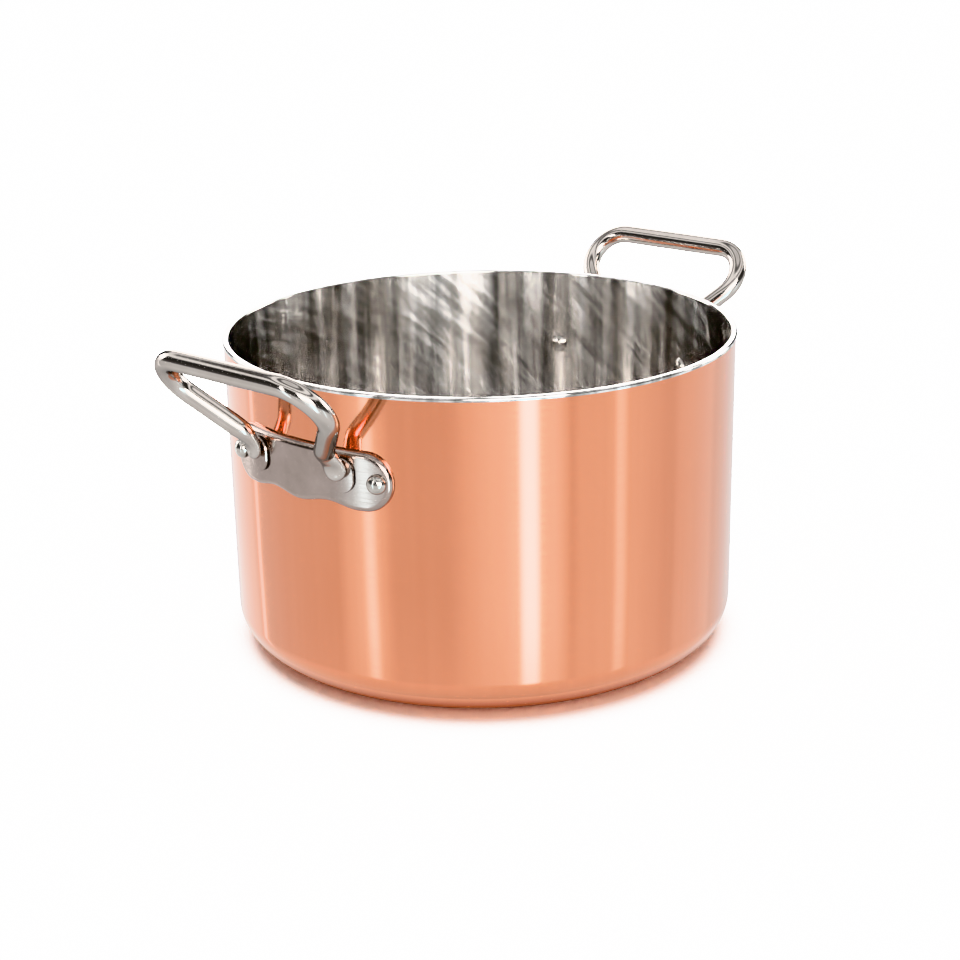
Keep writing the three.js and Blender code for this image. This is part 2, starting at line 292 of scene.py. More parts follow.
cross_wipes = add_node(
    nodes,
    "ShaderNodeTexNoise",
    {"Scale": 1.0, "Detail": 3.0, "Roughness": 0.6},
    {"Vector": slanting.outputs["Vector"]},
)
wiped = add_node(
    nodes,
    "ShaderNodeMix",
    {"Factor": 0.25},
    {"A": wipes.outputs["Fac"], "B": cross_wipes.outputs["Fac"]},
)
level = add_node(
    nodes,
    "ShaderNodeVectorMath",
    {1: (1, 1, 0)},
    {0: place.outputs["Object"]},
    operation="MULTIPLY",
)
outward = add_node(nodes, "ShaderNodeVectorMath", links={0: level.outputs["Vector"]}, operation="LENGTH")
ring = add_node(
    nodes,
    "ShaderNodeVectorMath",
    {0: (0, 0, 1 / (7 * MM))},
    {"Scale": outward.outputs["Value"]},
    operation="SCALE",
)
heading = add_node(nodes, "ShaderNodeVectorMath", links={0: level.outputs["Vector"]}, operation="NORMALIZE")
bearing = add_node(
    nodes, "ShaderNodeVectorMath", {"Scale": 2.2}, {0: heading.outputs["Vector"]}, operation="SCALE"
)
swirl = add_node(
    nodes,
    "ShaderNodeVectorMath",
    links={0: ring.outputs["Vector"], 1: bearing.outputs["Vector"]},
    operation="ADD",
)
arcs = add_node(
    nodes,
    "ShaderNodeTexNoise",
    {"Scale": 1.0, "Detail": 3.0, "Roughness": 0.6, "Distortion": 0.4},
    {"Vector": swirl.outputs["Vector"]},
)
floor_wipes = add_node(
    nodes,
    "ShaderNodeMapRange",
    {"From Min": 0.0, "From Max": 1.0, "To Min": 0.27, "To Max": 0.79},
    {"Value": arcs.outputs["Fac"]},
)
upward = add_node(nodes, "ShaderNodeSeparateXYZ", links={"Vector": place.outputs["Object"]})
on_wall = add_node(
    nodes,
    "ShaderNodeMapRange",
    {"From Min": 3 * MM, "From Max": 20 * MM},
    {"Value": upward.outputs["Z"]},
    interpolation_type="SMOOTHSTEP",
)
wipes_and_painted_streaks = add_node(
    nodes,
    "ShaderNodeMix",
    links={
        "Factor": on_wall.outputs["Result"],
        "A": floor_wipes.outputs["Result"],
        "B": wiped.outputs["Result"],
    },
)
streaks = add_node(
    nodes,
    "ShaderNodeMapRange",
    {"From Min": 0.42, "From Max": 0.62},
    {"Value": wipes_and_painted_streaks.outputs["Result"]},
    interpolation_type="SMOOTHSTEP",
)
# Painted reflection: the wipes take the tin from grey to near white, which paints dark and bright streaks
# into its colour.
tint = add_node(
    nodes,
    "ShaderNodeMix",
    {"A": linear("#B2AFAC"), "B": linear("#FCFAF8")},
    {"Factor": streaks.outputs["Result"]},
    data_type="RGBA",
)
nodes.links.new(tint.outputs["Result"], shader.inputs["Base Color"])
gloss = add_node(
    nodes,
    "ShaderNodeMapRange",
    {"From Min": 0.3, "From Max": 0.7, "To Min": 0.09, "To Max": 0.15},
    {"Value": cross_wipes.outputs["Fac"]},
)
nodes.links.new(gloss.outputs["Result"], shader.inputs["Roughness"])
bump = add_node(
    nodes,
    "ShaderNodeBump",
    {"Strength": 1.0, "Distance": 0.008 * MM},
    {"Height": wipes_and_painted_streaks.outputs["Result"]},
)
nodes.links.new(bump.outputs["Normal"], shader.inputs["Normal"])

lining.data.materials.append(tin)
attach(lining, "root")
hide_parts("tin_lining")

# Handle plates
# Two strips of 3 mm stainless steel with round ends and a wavy lower edge, bent round the wall.
# Each is held by two rivets. Its outer edge is ground round and polished, and its face is left satin.
PLATE_LENGTH = 96.5
PLATE_HEIGHT = 27.2
PLATE_THICKNESS = 3.0
PLATE_MIDDLE = 110.4
PLATE_RADIUS = 122.8
PLATE_EDGE = 2.6
PLATE_SIDES = 64
PLATE_CUTS = 47
PLATE_COLUMN = 2.5
STRAIGHT_PART = (PLATE_LENGTH - PLATE_HEIGHT) / 2 + 1
EDGE_STEPS = 8
FACE_INSET = 0.4
HAIR = 0.01
WAVE_DEPTH = 2.4
WAVE_LENGTH = 32.0
FACES = {"right": 0.0, "left": math.pi}


def select_vertices(piece, wanted):
    """Goes into edit mode with only the vertices selected that are wanted by their place, in mm."""
    bpy.ops.object.mode_set(mode="EDIT")
    bpy.ops.mesh.select_mode(type="VERT")
    mesh = bmesh.from_edit_mesh(piece.data)
    for vertex in mesh.verts:
        vertex.select = wanted(vertex.co / MM)
    mesh.select_flush_mode()
    bmesh.update_edit_mesh(piece.data)


def round_ended_bar(name, length, width, end_sides, upright):
    """A flat outline with two round ends, facing -Y: a circle whose halves are drawn apart."""
    bpy.ops.object.select_all(action="DESELECT")
    half_step = math.pi / end_sides
    bpy.ops.mesh.primitive_circle_add(
        vertices=end_sides, radius=width / 2 * MM, rotation=(math.pi / 2, half_step, 0)
    )
    piece = name_piece(name)
    bpy.ops.object.transform_apply(location=True, rotation=True, scale=True)
    apart = (length - width) / 2 * MM
    axis = 2 if upright else 0
    for side in (-1, 1):
        select_vertices(piece, lambda co: co[axis] * side > HAIR)
        step = (0, 0, side * apart) if upright else (side * apart, 0, 0)
        bpy.ops.transform.translate(value=step)
        bpy.ops.object.mode_set(mode="OBJECT")
    return piece


def thicken_and_bend(piece, length, thickness, edge, radius, column, insets=()):
    """Gives a flat outline its thickness, round outer edge and raised part, and bends it round the pot."""
    bpy.ops.object.mode_set(mode="EDIT")
    bpy.ops.mesh.select_all(action="SELECT")
    bpy.ops.mesh.edge_face_add()
    bpy.ops.mesh.extrude_region_move(TRANSFORM_OT_translate={"value": (0, -thickness * MM, 0)})
    bpy.ops.mesh.select_all(action="SELECT")
    bpy.ops.mesh.normals_make_consistent(inside=False)
    bpy.ops.object.mode_set(mode="OBJECT")
    select_vertices(piece, lambda co: co.y < -thickness + HAIR)
    bpy.ops.mesh.bevel(
        offset=edge * MM, segments=EDGE_STEPS, profile=0.5, affect="EDGES", clamp_overlap=False
    )
    bpy.ops.object.mode_set(mode="OBJECT")
    select_vertices(piece, lambda co: co.y < -thickness + HAIR)
    bpy.ops.mesh.inset(thickness=FACE_INSET * MM)
    for inset, rise in insets:
        bpy.ops.mesh.inset(thickness=inset * MM, depth=rise * MM)
    columns = int(length / column / 2)
    for number in range(-columns, columns + 1):
        bpy.ops.mesh.select_all(action="SELECT")
        bpy.ops.mesh.bisect(plane_co=(number * column * MM, 0, 0), plane_no=(1, 0, 0))
    bpy.ops.object.mode_set(mode="OBJECT")
    bpy.ops.object.modifier_add(type="SIMPLE_DEFORM")
    bend = piece.modifiers[-1]
    bend.deform_method = "BEND"
    bend.deform_axis = "Z"
    bend.angle = length / radius
    bpy.ops.object.modifier_apply(modifier=bend.name)
    piece.location.y = -radius * MM
    bpy.ops.object.transform_apply(location=True, rotation=True, scale=True)
    piece.rotation_euler.z = math.pi / 2
    bpy.ops.object.transform_apply(location=True, rotation=True, scale=True)
    bpy.ops.object.shade_smooth_by_angle(angle=CREASE)


def set_on_pot(piece, name, turn, height=0.0):
    """A copy of a handle's piece with its own mesh, turned round the pot's axis to its place."""
    bpy.ops.object.select_all(action="DESELECT")
    piece.select_set(True)
    bpy.context.view_layer.objects.active = piece
    bpy.ops.object.duplicate()
    made = name_piece(name)
    made.rotation_euler.z = turn
    made.location.z = height * MM
    bpy.ops.object.transform_apply(location=True, rotation=True, scale=True)
    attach(made, "root")
    return made


def put_away(piece):
    """Deletes the pattern piece that the copies were made from."""
    bpy.ops.object.select_all(action="DESELECT")
    piece.select_set(True)
    bpy.ops.object.delete()


pattern = round_ended_bar("plate_pattern", PLATE_LENGTH, PLATE_HEIGHT, PLATE_SIDES, False)
select_vertices(pattern, lambda co: abs(co.x) < STRAIGHT_PART)
bpy.ops.mesh.subdivide(number_cuts=PLATE_CUTS)
bpy.ops.object.mode_set(mode="OBJECT")
for vertex in pattern.data.vertices:
    along = vertex.co.x / MM
    if vertex.co.z < 0 and abs(along) < WAVE_LENGTH:
        vertex.co.z += WAVE_DEPTH * MM * math.sin(math.pi * along / WAVE_LENGTH) ** 2
thicken_and_bend(pattern, PLATE_LENGTH, PLATE_THICKNESS, PLATE_EDGE, PLATE_RADIUS, PLATE_COLUMN)

# Satin stainless steel: a warm mid grey. The grit of the last belt ran along the strip and left fine lines,
# drawn here 0.45 mm apart so that they show, and handling has left faint darker clouds about 15 mm across.
satin_steel, nodes, shader = new_material("satin_stainless_steel")
shader.inputs["Metallic"].default_value = 1.0
place = add_node(nodes, "ShaderNodeTexCoord")
belt = add_node(
    nodes,
    "ShaderNodeMapping",
    {"Scale": (1 / (18 * MM), 1 / (18 * MM), 1 / (0.45 * MM))},
    {"Vector": place.outputs["Object"]},
)
grit = add_node(
    nodes,
    "ShaderNodeTexNoise",
    {"Scale": 1.0, "Detail": 2.0, "Roughness": 0.6},
    {"Vector": belt.outputs["Vector"]},
)
clouds = add_node(
    nodes,
    "ShaderNodeTexNoise",
    {"Scale": 1 / (15 * MM), "Detail": 3.0, "Roughness": 0.55},
    {"Vector": place.outputs["Object"]},
)
tint = add_node(
    nodes,
    "ShaderNodeMix",
    {"A": linear("#C4B6AF"), "B": linear("#9C8E87")},
    {"Factor": clouds.outputs["Fac"]},
    data_type="RGBA",
)
nodes.links.new(tint.outputs["Result"], shader.inputs["Base Color"])
gloss = add_node(
    nodes,
    "ShaderNodeMapRange",
    {"From Min": 0.3, "From Max": 0.7, "To Min": 0.12, "To Max": 0.24},
    {"Value": grit.outputs["Fac"]},
)
nodes.links.new(gloss.outputs["Result"], shader.inputs["Roughness"])
bump = add_node(
    nodes,
    "ShaderNodeBump",
    {"Strength": 0.5, "Distance": 0.004 * MM},
    {"Height": grit.outputs["Fac"]},
)
nodes.links.new(bump.outputs["Normal"], shader.inputs["Normal"])
pattern.data.materials.append(satin_steel)

for side, turn in FACES.items():
    plate = set_on_pot(pattern, "handle_plate_" + side, turn, PLATE_MIDDLE)
    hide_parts(side + "_handle_plate")
put_away(pattern)

# Foot pads
# Four small pads of the same steel, one under each foot of a loop, welded to the plates. Each has a flat
# collar round a raised seat, and a round lower end that shows below the foot.
PAD_WIDTH = 13.2
PAD_HEIGHT = 16.0
PAD_THICKNESS = 1.2
PAD_COLLAR = 0.75
PAD_EDGE = 0.5
PAD_RADIUS = 126.1
PAD_MIDDLE = 113.0
PAD_SPREAD = 51.25
PAD_TURN = math.asin(PAD_SPREAD / 2 / (PAD_RADIUS + PAD_THICKNESS))
PAD_SIDES = 56
PAD_COLUMN = 2.0
# Inset and rise: first the flat collar, then the slope up to the seat.
PAD_INSETS = ((0.8, 0.0), (0.3, PAD_THICKNESS - PAD_COLLAR))
# Where the painted shade in the pad's joint ends up its edge, and how far it fades out, in mm.
JOINT_SHADE_TOP = 0.3
JOINT_SHADE_FADE = 0.42
HANDS = {"a": -1, "b": 1}


def smooth_step(value):
    """Goes from 0 to 1 without a kink."""
    held = min(max(value, 0.0), 1.0)
    return held * held * (3 - 2 * held)


pattern = round_ended_bar("pad_pattern", PAD_HEIGHT, PAD_WIDTH, PAD_SIDES, True)
thicken_and_bend(pattern, PAD_WIDTH, PAD_COLLAR, PAD_EDGE, PAD_RADIUS, PAD_COLUMN, PAD_INSETS)
# Painted shade in the joint: full at the foot of the pad's edge, fading out up the edge.
joint_darkening = pattern.data.attributes.new(name="painted_joint_shade", type="FLOAT", domain="POINT")
for vertex, shade_value in zip(pattern.data.vertices, joint_darkening.data):
    height = math.hypot(vertex.co.x, vertex.co.y) / MM - PAD_RADIUS
    shade_value.value = 1 - smooth_step((height - JOINT_SHADE_TOP) / JOINT_SHADE_FADE)

# Pad stainless steel: the plate's satin grey, with painted shade in the joint round the pad: a dark brown
# line that fades out up the pad's edge.
pad_steel = satin_steel.copy()
pad_steel.name = "pad_steel_painted_shade"
nodes = pad_steel.node_tree
shader = nodes.nodes["Principled BSDF"]
steel_grey = shader.inputs["Base Color"].links[0].from_socket
joint = add_node(nodes, "ShaderNodeAttribute", attribute_name="painted_joint_shade")
tint = add_node(
    nodes,
    "ShaderNodeMix",
    {"B": linear("#3A332E")},
    {"Factor": joint.outputs["Fac"], "A": steel_grey},
    data_type="RGBA",
)
nodes.links.new(tint.outputs["Result"], shader.inputs["Base Color"])
pattern.data.materials.append(pad_steel)
for side, turn in FACES.items():
    for hand, sign in HANDS.items():
        pad = set_on_pot(pattern, "foot_pad_" + side + "_" + hand, turn + sign * PAD_TURN, PAD_MIDDLE)
        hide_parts(side + "_foot_pad_" + hand)
put_away(pattern)

# Handle loops
# Two rods of stainless steel, thicker in the middle of the grip, bent to a flared loop on a jig.
# Each end is hammered flat to a foot that lies on its pad and is welded there.
ROD = 9.3
GRIP = 9.47
LOOP_TILT = math.radians(51)
ROD_SIDES = 28
FOOT_WIDTH = 11.0
FOOT_THICKNESS = 4.0
FOOT_RADIUS = 129.6
FOOT_PARTS = (0, 0.01, 0.03, 0.06, 0.1, 0.15, 0.21, 0.28)
FOOT_EDGE = 2.4
FOOT_EDGE_SHARE = 0.15
FOOT_TIP_SHARE = 0.02
# How square a section is: 2 is an ellipse, and more is nearer to a box.
FOOT_SQUARE = 2.3
ROD_SQUARE = 2.0
# Corners of the rod's middle line: the distance across both legs and the height, with the way out from the
# axis first where the wall doesn't give it.
FOOT_END = (52.0, 111.4)
FOOT_TOP = (50.5, 118.0)
KNEE = (132.9, 50.0, 125.8)
LEG = 48.5
GRIP_SPREAD = 127.0
GRIP_PLACE = (KNEE[0] + LEG * math.cos(LOOP_TILT), GRIP_SPREAD, KNEE[2] + LEG * math.sin(LOOP_TILT))
# Radius and steps of the bends at the foot's top, the knee and the end of the grip.
BENDS = ((14.0, 12), (6.5, 14), (16.0, 20))
STRAIGHT_PARTS = 8
# The rod starts to thicken at this share of the way to the middle of the grip.
GRIP_START = 0.62
ROD_CREASE = math.radians(50)


def half_loop(side):
    """Half of a loop's middle line, from the foot's end to the grip's middle, and where its knee ends."""

    def on_wall(spread, height):
        return Vector((math.sqrt(FOOT_RADIUS**2 - (spread / 2) ** 2), side * spread / 2, height))

    corners = [
        on_wall(*FOOT_END),
        on_wall(*FOOT_TOP),
        Vector((KNEE[0], side * KNEE[1] / 2, KNEE[2])),
        Vector((GRIP_PLACE[0], side * GRIP_PLACE[1] / 2, GRIP_PLACE[2])),
        Vector((GRIP_PLACE[0], 0, GRIP_PLACE[2])),
    ]
    path = []
    foot = corners[1] - corners[0]
    for along in FOOT_PARTS:
        path.append(corners[0] + foot * along)
    knee = 0
    for corner in (1, 2, 3):
        bend, steps = BENDS[corner - 1]
        back = (corners[corner - 1] - corners[corner]).normalized()
        on = (corners[corner + 1] - corners[corner]).normalized()
        half_angle = back.angle(on) / 2
        centre = corners[corner] + (back + on).normalized() * (bend / math.sin(half_angle))
        first = corners[corner] + back * (bend / math.tan(half_angle)) - centre
        last = corners[corner] + on * (bend / math.tan(half_angle)) - centre
        sweep = first.angle(last)
        if corner == 3:
            start = path[-1].copy()
            leg = centre + first - start
            for part in range(1, STRAIGHT_PARTS):
                path.append(start + leg * (part / STRAIGHT_PARTS))
        for step in range(steps + 1):
            angle = sweep * step / steps
            ahead = first * (math.sin(sweep - angle) / math.sin(sweep))
            path.append(centre + ahead + last * (math.sin(angle) / math.sin(sweep)))
        if corner == 2:
            knee = len(path)
    start = path[-1].copy()
    for part in range(1, STRAIGHT_PARTS + 1):
        path.append(start + (corners[4] - start) * (part / STRAIGHT_PARTS))
    return path, knee


def loop_rings():
    """Each ring of the rod: its middle, its two half widths along their directions, and how square it is."""
    near, knee = half_loop(1)
    far, _ = half_loop(-1)
    path = near + far[-2::-1]
    lengths = [0.0]
    for before, after in zip(path, path[1:]):
        lengths.append(lengths[-1] + (after - before).length)
    total = lengths[-1]
    knee_at = lengths[knee]
    foot_at = lengths[len(FOOT_PARTS) - 1]
    across_loop = Vector((math.sin(LOOP_TILT), 0, -math.cos(LOOP_TILT)))
    rings = []
    for number, point in enumerate(path):
        along = (path[min(number + 1, len(path) - 1)] - path[max(number - 1, 0)]).normalized()
        from_end = min(lengths[number], total - lengths[number])
        rounded = smooth_step((from_end - foot_at) / (knee_at - foot_at))
        outward = Vector((point.x, point.y, 0)).normalized()
        flat = outward.lerp(across_loop, rounded)
        flat = (flat - along * flat.dot(along)).normalized()
        wide = flat.cross(along)
        gripped = smooth_step((from_end / (total / 2) - GRIP_START) / (1 - GRIP_START))
        rod = (ROD + (GRIP - ROD) * gripped) / 2
        tip = min(from_end / (FOOT_WIDTH / 2), 1.0)
        tongue = FOOT_WIDTH / 2 * math.sqrt(max(1 - (1 - tip) ** 2, FOOT_TIP_SHARE))
        edge = math.sqrt(1 - (1 - min(from_end / FOOT_EDGE, 1.0)) ** 2)
        thick = FOOT_THICKNESS / 2 * (FOOT_EDGE_SHARE + (1 - FOOT_EDGE_SHARE) * edge)
        thick += (rod - thick) * rounded
        broad = tongue + (rod - tongue) * rounded
        square = FOOT_SQUARE + (ROD_SQUARE - FOOT_SQUARE) * rounded
        rings.append((point, flat * thick, wide * broad, square))
    return rings


def draw_rod(name, rings, sides):
    """A bent rod: a circle, extruded from ring to ring, each set at its place and drawn to its section."""
    bpy.ops.object.select_all(action="DESELECT")
    bpy.ops.mesh.primitive_circle_add(vertices=sides, radius=1, fill_type="NGON")
    piece = name_piece(name)
    bpy.ops.object.mode_set(mode="EDIT")
    bpy.ops.mesh.select_mode(type="EDGE")
    bpy.ops.mesh.select_all(action="SELECT")
    angles = [2 * math.pi * corner / sides for corner in range(sides)]
    circle = [(math.cos(angle), math.sin(angle)) for angle in angles]
    places = [Vector((c, s, 0)) for c, s in circle]
    for number, (middle, thick, broad, square) in enumerate(rings):
        if number:
            bpy.ops.mesh.extrude_edges_move(TRANSFORM_OT_translate={"value": (0, 0, 0)})
        mesh = bmesh.from_edit_mesh(piece.data)
        ring = [vertex for vertex in mesh.verts if vertex.select]
        new_places = []
        for c, s in circle:
            through = math.copysign(abs(c) ** (2 / square), c)
            across = math.copysign(abs(s) ** (2 / square), s)
            new_places.append((middle + thick * through + broad * across) * MM)
        for vertex in ring:
            nearest = min(range(sides), key=lambda corner: (places[corner] - vertex.co).length_squared)
            vertex.co = new_places[nearest]
        bmesh.update_edit_mesh(piece.data)
        places = new_places
    bpy.ops.mesh.edge_face_add()
    bpy.ops.mesh.select_all(action="SELECT")
    bpy.ops.mesh.normals_make_consistent(inside=False)
    bpy.ops.object.mode_set(mode="OBJECT")
    bpy.ops.object.shade_smooth_by_angle(angle=ROD_CREASE)
    return piece


pattern = draw_rod("loop_pattern", loop_rings(), ROD_SIDES)

# Polished stainless steel: a bright grey mirror, a little uneven over 12 mm where it was buffed by hand, with
# hairlines that show only as slight changes of gloss, drawn 0.8 mm apart. Like all steel it mirrors less at a
# slant, so the rod has a darker edge. The buff doesn't quite reach the feet, which stay a little duller: that
# sets in 138 mm above the table and is full at 116 mm.
bright_steel, nodes, shader = new_material("polished_stainless_steel")
shader.inputs["Metallic"].default_value = 1.0
shader.inputs["Specular Tint"].default_value = (0.45, 0.45, 0.45, 1)
place = add_node(nodes, "ShaderNodeTexCoord")
buffing = add_node(
    nodes,
    "ShaderNodeTexNoise",
    {"Scale": 1 / (12 * MM), "Detail": 2.0, "Roughness": 0.5},
    {"Vector": place.outputs["Object"]},
)
hairlines = add_node(
    nodes,
    "ShaderNodeTexNoise",
    {"Scale": 1 / (0.8 * MM), "Detail": 2.0, "Roughness": 0.6},
    {"Vector": place.outputs["Object"]},
)
tint = add_node(
    nodes,
    "ShaderNodeMix",
    {"A": linear("#D6D0CB"), "B": linear("#C1B8B1")},
    {"Factor": buffing.outputs["Fac"]},
    data_type="RGBA",
)
nodes.links.new(tint.outputs["Result"], shader.inputs["Base Color"])
gloss = add_node(
    nodes,
    "ShaderNodeMapRange",
    {"From Min": 0.3, "From Max": 0.7, "To Min": 0.09, "To Max": 0.14},
    {"Value": hairlines.outputs["Fac"]},
)
level = add_node(nodes, "ShaderNodeSeparateXYZ", links={"Vector": place.outputs["Object"]})
unbuffed = add_node(
    nodes,
    "ShaderNodeMapRange",
    {"From Min": 116 * MM, "From Max": 138 * MM, "To Min": 0.06, "To Max": 0.0},
    {"Value": level.outputs["Z"]},
    interpolation_type="SMOOTHSTEP",
)
dulled = add_node(
    nodes,
    "ShaderNodeMath",
    links={0: gloss.outputs["Result"], 1: unbuffed.outputs["Result"]},
    operation="ADD",
)
nodes.links.new(dulled.outputs["Value"], shader.inputs["Roughness"])
bump = add_node(
    nodes,
    "ShaderNodeBump",
    {"Strength": 1.0, "Distance": 0.06 * MM},
    {"Height": buffing.outputs["Fac"]},
)
nodes.links.new(bump.outputs["Normal"], shader.inputs["Normal"])
pattern.data.materials.append(bright_steel)

for side, turn in FACES.items():
    loop = set_on_pot(pattern, "handle_loop_" + side, turn)
    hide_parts(side + "_handle_loop")
put_away(pattern)

# Rivets
# Four steel rivets, two through each plate, the copper and the tin. They are headed cold from both ends:
# a high dome outside, a flatter one inside.
RIVET_HEAD = 4.5
RIVET_SHANK = 2.5
RIVET_HEIGHT = 110.8
RIVET_INSET = 6.8
RIVET_TURN = (PLATE_LENGTH / 2 - RIVET_INSET) / PLATE_RADIUS
RIVET_SIDES = 40
# Where a head sits, out from the axis, how far it rises from there and in how many steps.
HEAD_OUTSIDE = (126.1, 3.4, 12)
HEAD_INSIDE = (119.616, -2.4, 9)
DOME_SWEEP = math.radians(86)


def dome(seat, rise, steps):
    """The outline of a rivet's head from its rim to near its crown."""
    points = []
    for step in range(steps + 1):
        angle = DOME_SWEEP * step / steps
        points.append((RIVET_HEAD * math.cos(angle), seat + rise * math.sin(angle)))
    return points


rivet_outline = [
    *dome(*HEAD_INSIDE)[::-1],
    (RIVET_SHANK, HEAD_INSIDE[0]),
    (RIVET_SHANK, HEAD_OUTSIDE[0]),
    *dome(*HEAD_OUTSIDE),
]
pattern = turn_outline("rivet_pattern", rivet_outline, RIVET_SIDES)
pattern.rotation_euler.y = math.pi / 2
bpy.ops.object.transform_apply(location=True, rotation=True, scale=True)

# Hammered stainless steel: a bright grey head with shallow dents about 2.5 mm across from the setting tool,
# and a fine grain 0.5 mm across that dulls it in patches.
rivet_steel, nodes, shader = new_material("hammered_stainless_steel")
shader.inputs["Metallic"].default_value = 1.0
place = add_node(nodes, "ShaderNodeTexCoord")
dents = add_node(
    nodes,
    "ShaderNodeTexNoise",
    {"Scale": 1 / (2.5 * MM), "Detail": 1.0, "Roughness": 0.5},
    {"Vector": place.outputs["Object"]},
)
grain = add_node(
    nodes,
    "ShaderNodeTexNoise",
    {"Scale": 1 / (0.5 * MM), "Detail": 2.0, "Roughness": 0.6},
    {"Vector": place.outputs["Object"]},
)
tint = add_node(
    nodes,
    "ShaderNodeMix",
    {"A": linear("#DAD6D1"), "B": linear("#B5AFA8")},
    {"Factor": grain.outputs["Fac"]},
    data_type="RGBA",
)
nodes.links.new(tint.outputs["Result"], shader.inputs["Base Color"])
gloss = add_node(
    nodes,
    "ShaderNodeMapRange",
    {"From Min": 0.3, "From Max": 0.7, "To Min": 0.1, "To Max": 0.22},
    {"Value": grain.outputs["Fac"]},
)
nodes.links.new(gloss.outputs["Result"], shader.inputs["Roughness"])
bump = add_node(
    nodes,
    "ShaderNodeBump",
    {"Strength": 1.0, "Distance": 0.35 * MM},
    {"Height": dents.outputs["Fac"]},
)
nodes.links.new(bump.outputs["Normal"], shader.inputs["Normal"])
pattern.data.materials.append(rivet_steel)

for side, turn in FACES.items():
    for hand, sign in HANDS.items():
        rivet = set_on_pot(pattern, "rivet_" + side + "_" + hand, turn + sign * RIVET_TURN, RIVET_HEIGHT)
        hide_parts(side + "_rivet_" + hand)
put_away(pattern)

# Floor, light and camera
# A plain white table, a white room with light cards standing round it, and a camera at the photograph's
# height. The cards are what the metal mirrors. The camera itself sees only the white room.
TABLE_SIZE = 8000.0
TABLE_DROP = 0.05
TABLE_GLOW = 16.0
# The pot's painted shadow on the table: how far its middle is shifted, where its edge starts and ends, and
# its curve.
SHADE_SHIFT = 6.0
SHADE_FROM = 108.0
SHADE_TO = 134.0
SHADE_CURVE = 2.6
# The glowing disc that the metal mirrors: its size, where its painted brown shade starts to fade and ends,
# and its middle tone.
DISC_RADIUS = 123.0
DISC_SIDES = 96
DISC_DROP = 0.02
BROWN_FROM = 107.0
BROWN_TO = 122.0
BROWN_MIDDLE = 0.45
# The camera: its angles, its distance and aim from the pot's size, and its focal length in picture widths.
SENSOR = 36.0
CAMERA_TURN = math.radians(-49.5)
CAMERA_RISE = math.radians(19.09)
CAMERA_ROLL = -0.0182
CAMERA_DISTANCE = 7.48 * BODY_RADIUS
CAMERA_TARGET = (-0.0093 * BODY_RADIUS, 0.5829 * BODY_RADIUS)
CAMERA_FOCUS = 1852 / 960

# White table: matt white, and it glows so that it is burnt out to plain white. Its glow fades out round the
# pot, which paints the pot's soft shadow, whose middle lies a little nearer to the camera than the pot's.
bpy.ops.object.select_all(action="DESELECT")
bpy.ops.mesh.primitive_plane_add(size=TABLE_SIZE * MM, location=(0, 0, -TABLE_DROP * MM))
table = bpy.context.object
table.name = "table"
white, nodes, shader = new_material("white_table_painted_shadow")
shader.inputs["Base Color"].default_value = linear("#F4F2EF")
shader.inputs["Roughness"].default_value = 0.9
shader.inputs["Emission Color"].default_value = (1, 1, 1, 1)
place = add_node(nodes, "ShaderNodeTexCoord")
front = (math.sin(CAMERA_TURN), -math.cos(CAMERA_TURN))
shaded = add_node(
    nodes,
    "ShaderNodeVectorMath",
    {1: (SHADE_SHIFT * MM * front[0], SHADE_SHIFT * MM * front[1], 0)},
    {0: place.outputs["Object"]},
    operation="SUBTRACT",
)
away = add_node(nodes, "ShaderNodeVectorMath", links={0: shaded.outputs["Vector"]}, operation="LENGTH")
# Painted shadow: the glow is off close to the pot and full further out.
glow = add_node(
    nodes,
    "ShaderNodeMapRange",
    {"From Min": SHADE_FROM * MM, "From Max": SHADE_TO * MM, "To Min": 0.0, "To Max": 1.0},
    {"Value": away.outputs["Value"]},
    interpolation_type="SMOOTHSTEP",
)
burn = add_node(nodes, "ShaderNodeMath", {1: SHADE_CURVE}, {0: glow.outputs["Result"]}, operation="POWER")
glowing = add_node(
    nodes, "ShaderNodeMath", {1: TABLE_GLOW}, {0: burn.outputs["Value"]}, operation="MULTIPLY"
)
nodes.links.new(glowing.outputs["Value"], shader.inputs["Emission Strength"])
table.data.materials.append(white)
table.visible_glossy = False

# Shaded table: a glowing disc, a painted reflection of the table close by for the pot's rounded corner to
# mirror. It glows dark brown under the pot, as painted shade with the copper's light in it, and goes to white
# at the edge. Only the metal sees this disc, in place of the table.
bpy.ops.mesh.primitive_circle_add(
    vertices=DISC_SIDES, radius=DISC_RADIUS * MM, fill_type="NGON", location=(0, 0, -DISC_DROP * MM)
)
under_pot = bpy.context.object
under_pot.name = "table_under_pot"
mirrored, nodes, shader = new_material("painted_shaded_table")
shader.inputs["Base Color"].default_value = linear("#000000")
shader.inputs["Roughness"].default_value = 1.0
shader.inputs["Emission Strength"].default_value = 1.0
place = add_node(nodes, "ShaderNodeTexCoord")
away = add_node(nodes, "ShaderNodeVectorMath", links={0: place.outputs["Object"]}, operation="LENGTH")
fading = add_node(
    nodes,
    "ShaderNodeMapRange",
    {"From Min": BROWN_FROM * MM, "From Max": BROWN_TO * MM},
    {"Value": away.outputs["Value"]},
)
copper_glow = add_node(nodes, "ShaderNodeValToRGB", links={"Fac": fading.outputs["Result"]})
copper_glow.color_ramp.elements[0].color = linear("#5A2C16")
copper_glow.color_ramp.elements[1].color = linear("#F4F0EC")
copper_glow.color_ramp.elements.new(BROWN_MIDDLE).color = linear("#B4775A")
nodes.links.new(copper_glow.outputs["Color"], shader.inputs["Emission Color"])
under_pot.data.materials.append(mirrored)
under_pot.visible_camera = False
under_pot.visible_diffuse = False
under_pot.visible_shadow = False

